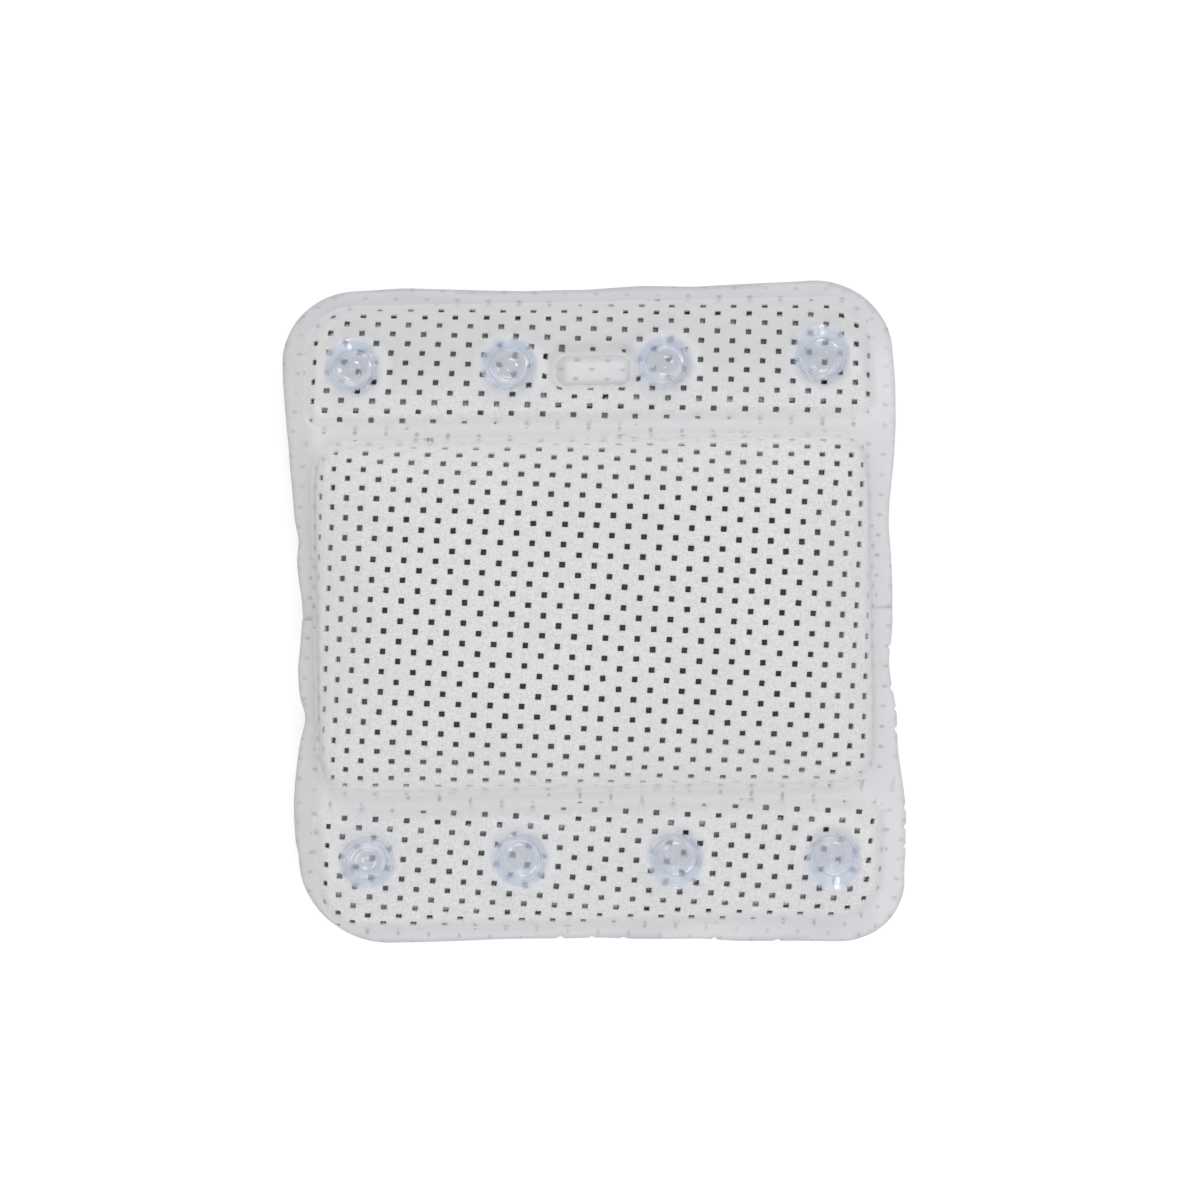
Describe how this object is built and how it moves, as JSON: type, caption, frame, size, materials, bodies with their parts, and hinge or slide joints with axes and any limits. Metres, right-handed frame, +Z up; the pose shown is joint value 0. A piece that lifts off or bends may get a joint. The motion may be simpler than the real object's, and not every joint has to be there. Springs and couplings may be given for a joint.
{
  "type": "bath pillow",
  "caption": "Padded bath pillow of perforated white foam sheet, with a folding flap above and below and clear suction cups.",
  "frame": {"origin": "on the surface it lies on, under the middle of the pillow", "axes": "+X to the right and +Y to the upper flap as seen from the cup side, +Z up, out of the rear of the pillow"},
  "size_m": [0.327, 0.3526, 0.045],
  "materials": {
    "foam_sheet": "satin",
    "pressed_sheet": "satin",
    "foam_core": "matte",
    "clear_vinyl": "gloss"
  },
  "bodies": {
    "cushion": {"cushion_rear_sheet": "foam_sheet", "cushion_front_sheet": "foam_sheet", "cushion_core": "foam_core", "left_side_weld": "pressed_sheet", "right_side_weld": "pressed_sheet", "upper_fold_weld": "pressed_sheet", "lower_fold_weld": "pressed_sheet"},
    "upper_flap": {"upper_flap_rear_sheet": "foam_sheet", "upper_flap_front_sheet": "foam_sheet", "upper_flap_rim_weld": "pressed_sheet", "upper_flap_tack_weld": "pressed_sheet"},
    "lower_flap": {"lower_flap_rear_sheet": "foam_sheet", "lower_flap_front_sheet": "foam_sheet", "lower_flap_rim_weld": "pressed_sheet"},
    "upper_cup_1": {"upper_cup_1": "clear_vinyl"},
    "upper_cup_2": {"upper_cup_2": "clear_vinyl"},
    "upper_cup_3": {"upper_cup_3": "clear_vinyl"},
    "upper_cup_4": {"upper_cup_4": "clear_vinyl"},
    "lower_cup_1": {"lower_cup_1": "clear_vinyl"},
    "lower_cup_2": {"lower_cup_2": "clear_vinyl"},
    "lower_cup_3": {"lower_cup_3": "clear_vinyl"},
    "lower_cup_4": {"lower_cup_4": "clear_vinyl"}
  },
  "joints": [
    {"name": "upper_flap_fold", "type": "hinge", "parent": "cushion", "child": "upper_flap", "pos_m": [0, 0.097, 0.0213], "axis": [1, 0, 0], "range_deg": [-70, 100], "deforming": ["upper_fold_weld"]},
    {"name": "lower_flap_fold", "type": "hinge", "parent": "cushion", "child": "lower_flap", "pos_m": [0, -0.097, 0.0213], "axis": [-1, 0, 0], "range_deg": [-70, 100], "deforming": ["lower_fold_weld"]},
    {"name": "upper_cup_1_turn", "type": "hinge", "parent": "upper_flap", "child": "upper_cup_1", "pos_m": [-0.12525, 0.13048, 0.01299], "axis": [0, 0.2408, 0.9706], "continuous": true},
    {"name": "upper_cup_2_turn", "type": "hinge", "parent": "upper_flap", "child": "upper_cup_2", "pos_m": [-0.04175, 0.13048, 0.01299], "axis": [0, 0.2408, 0.9706], "continuous": true},
    {"name": "upper_cup_3_turn", "type": "hinge", "parent": "upper_flap", "child": "upper_cup_3", "pos_m": [0.04175, 0.13048, 0.01299], "axis": [0, 0.2408, 0.9706], "continuous": true},
    {"name": "upper_cup_4_turn", "type": "hinge", "parent": "upper_flap", "child": "upper_cup_4", "pos_m": [0.12525, 0.13048, 0.01299], "axis": [0, 0.2408, 0.9706], "continuous": true},
    {"name": "lower_cup_1_turn", "type": "hinge", "parent": "lower_flap", "child": "lower_cup_1", "pos_m": [-0.12525, -0.12757, 0.01371], "axis": [0, -0.2408, 0.9706], "continuous": true},
    {"name": "lower_cup_2_turn", "type": "hinge", "parent": "lower_flap", "child": "lower_cup_2", "pos_m": [-0.04175, -0.12757, 0.01371], "axis": [0, -0.2408, 0.9706], "continuous": true},
    {"name": "lower_cup_3_turn", "type": "hinge", "parent": "lower_flap", "child": "lower_cup_3", "pos_m": [0.04175, -0.12757, 0.01371], "axis": [0, -0.2408, 0.9706], "continuous": true},
    {"name": "lower_cup_4_turn", "type": "hinge", "parent": "lower_flap", "child": "lower_cup_4", "pos_m": [0.12525, -0.12757, 0.01371], "axis": [0, -0.2408, 0.9706], "continuous": true}
  ]
}
